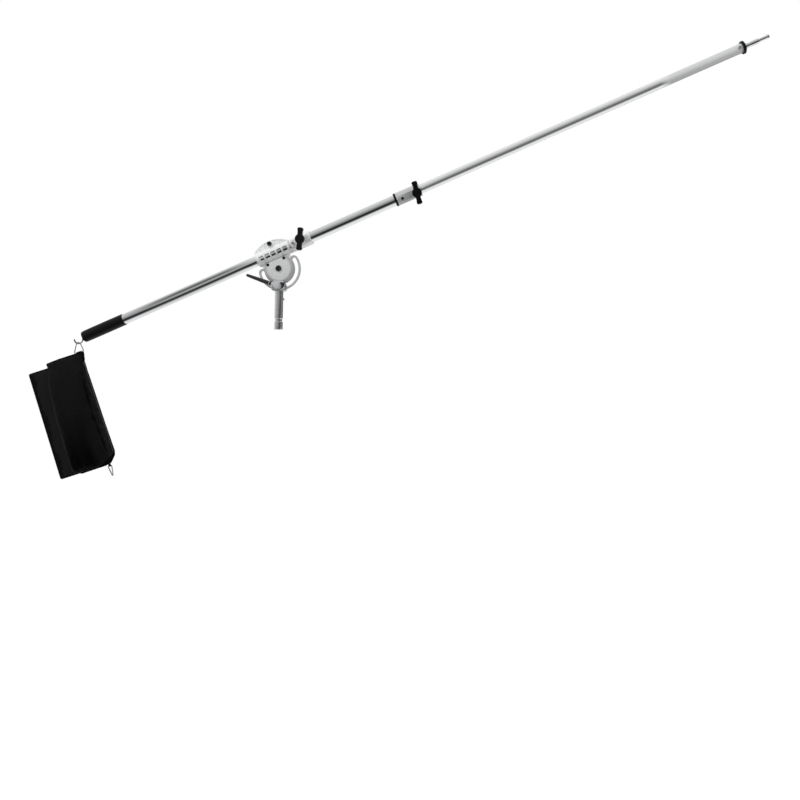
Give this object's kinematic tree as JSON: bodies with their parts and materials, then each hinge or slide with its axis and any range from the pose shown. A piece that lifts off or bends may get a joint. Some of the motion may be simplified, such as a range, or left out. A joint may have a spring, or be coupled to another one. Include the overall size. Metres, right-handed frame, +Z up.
{
  "type": "overhead boom arm",
  "caption": "Telescopic overhead boom arm in a tilting pivot head with a slotted lock plate, T-handle clamps, a lamp stud and a hanging counterweight bag.",
  "frame": {"origin": "centre of the flat lower end of the mounting pin", "axes": "+Z up along the pin, +X towards the lamp end of the boom, -Y towards the clamp handles"},
  "size_m": [2.4626, 0.0948, 1.5106],
  "materials": {
    "chrome_steel": "polished",
    "cast_alloy": "satin, as cast and lacquered",
    "disc_alloy": "satin dark grey",
    "dark_steel": "dark bright steel",
    "black_steel": "black oxide",
    "zinc_steel": "zinc plated",
    "black_plastic": "moulded, half matt",
    "black_rubber": "matt",
    "pale_nylon": "natural",
    "bag_fabric": "coated woven nylon"
  },
  "bodies": {
    "yoke": {"yoke_pin": "dark_steel", "pin_set_screw": "zinc_steel", "pivot_bolt": "black_steel", "pivot_nut": "zinc_steel", "clamp_bolt": "zinc_steel", "clamp_washer": "zinc_steel"},
    "tilt_lever": {"tilt_lever": "dark_steel"},
    "tilt_head": {"head_casting": "cast_alloy", "pivot_disc": "disc_alloy", "disc_screw_rear": "black_steel", "disc_screw_front": "black_steel", "fan_screw": "black_steel", "fan_nut": "zinc_steel", "brake_collar": "cast_alloy", "brake_collar_screw": "black_steel"},
    "brake_knob": {"brake_knob_screw": "zinc_steel", "brake_knob": "black_plastic"},
    "boom_bushes": {"sleeve_bush_rear": "pale_nylon", "sleeve_bush_front": "pale_nylon"},
    "outer_boom": {"outer_tube": "chrome_steel", "grip_sleeve": "black_rubber", "grip_end_plug": "black_plastic", "weight_hook": "zinc_steel", "front_collar": "cast_alloy", "collar_ring": "black_rubber", "collar_screw": "black_steel"},
    "collar_knob": {"collar_knob_screw": "zinc_steel", "collar_knob": "black_plastic"},
    "telescope_bush": {"telescope_bush": "pale_nylon"},
    "inner_boom": {"inner_tube": "chrome_steel", "inner_rear_plug": "pale_nylon", "tip_ring": "black_rubber", "lamp_stud": "chrome_steel", "tip_screw": "zinc_steel"},
    "bag_ring": {"bag_ring": "zinc_steel"},
    "bag": {"bag_hanging_loop": "bag_fabric", "bag_front_pouch": "bag_fabric", "bag_rear_pouch": "bag_fabric", "bag_zip_gusset": "bag_fabric", "bag_lower_loop": "bag_fabric"},
    "pull_ring": {"bag_pull_ring": "zinc_steel"}
  },
  "joints": [
    {"name": "head_tilt", "type": "hinge", "parent": "yoke", "child": "tilt_head", "pos_m": [0, 0, 0.205], "axis": [0, -1, 0], "range_deg": [-114, 66]},
    {"name": "tilt_lever_turn", "type": "hinge", "parent": "yoke", "child": "tilt_lever", "pos_m": [0, 0, 0.1445], "axis": [0, -1, 0], "range_deg": [0, 100]},
    {"name": "brake_knob_turn", "type": "hinge", "parent": "tilt_head", "child": "brake_knob", "pos_m": [0.07746, 0, 0.30024], "axis": [0, -1, 0], "range_deg": [0, 360]},
    {"name": "boom_roll", "type": "hinge", "parent": "tilt_head", "child": "boom_bushes", "pos_m": [-0.02257, 0, 0.2557], "axis": [0.9135, 0, 0.4067], "continuous": true},
    {"name": "boom_slide", "type": "slide", "parent": "boom_bushes", "child": "outer_boom", "axis": [0.9135, 0, 0.4067], "range_m": [-0.306, 0.512]},
    {"name": "collar_knob_turn", "type": "hinge", "parent": "outer_boom", "child": "collar_knob", "pos_m": [0.45704, 0, 0.46924], "axis": [0.1391, -0.9397, -0.3125], "range_deg": [0, 360]},
    {"name": "inner_roll", "type": "hinge", "parent": "outer_boom", "child": "telescope_bush", "pos_m": [0.4525, 0, 0.4672], "axis": [0.9135, 0, 0.4067], "continuous": true},
    {"name": "inner_slide", "type": "slide", "parent": "telescope_bush", "child": "inner_boom", "axis": [0.9135, 0, 0.4067], "range_m": [-1.087, 0.064]},
    {"name": "bag_ring_swing", "type": "hinge", "parent": "outer_boom", "child": "bag_ring", "pos_m": [-0.71029, 0, -0.06913], "axis": [0, -1, 0], "range_deg": [-75, 35]},
    {"name": "bag_sway", "type": "hinge", "parent": "bag_ring", "child": "bag", "pos_m": [-0.70823, 0, -0.09576], "axis": [0.9483, 0, 0.3173], "range_deg": [-30, 30]},
    {"name": "pull_ring_swing", "type": "hinge", "parent": "bag", "child": "pull_ring", "pos_m": [-0.59337, 0.0054, -0.48936], "axis": [0, 1, 0], "range_deg": [-60, 60]}
  ]
}
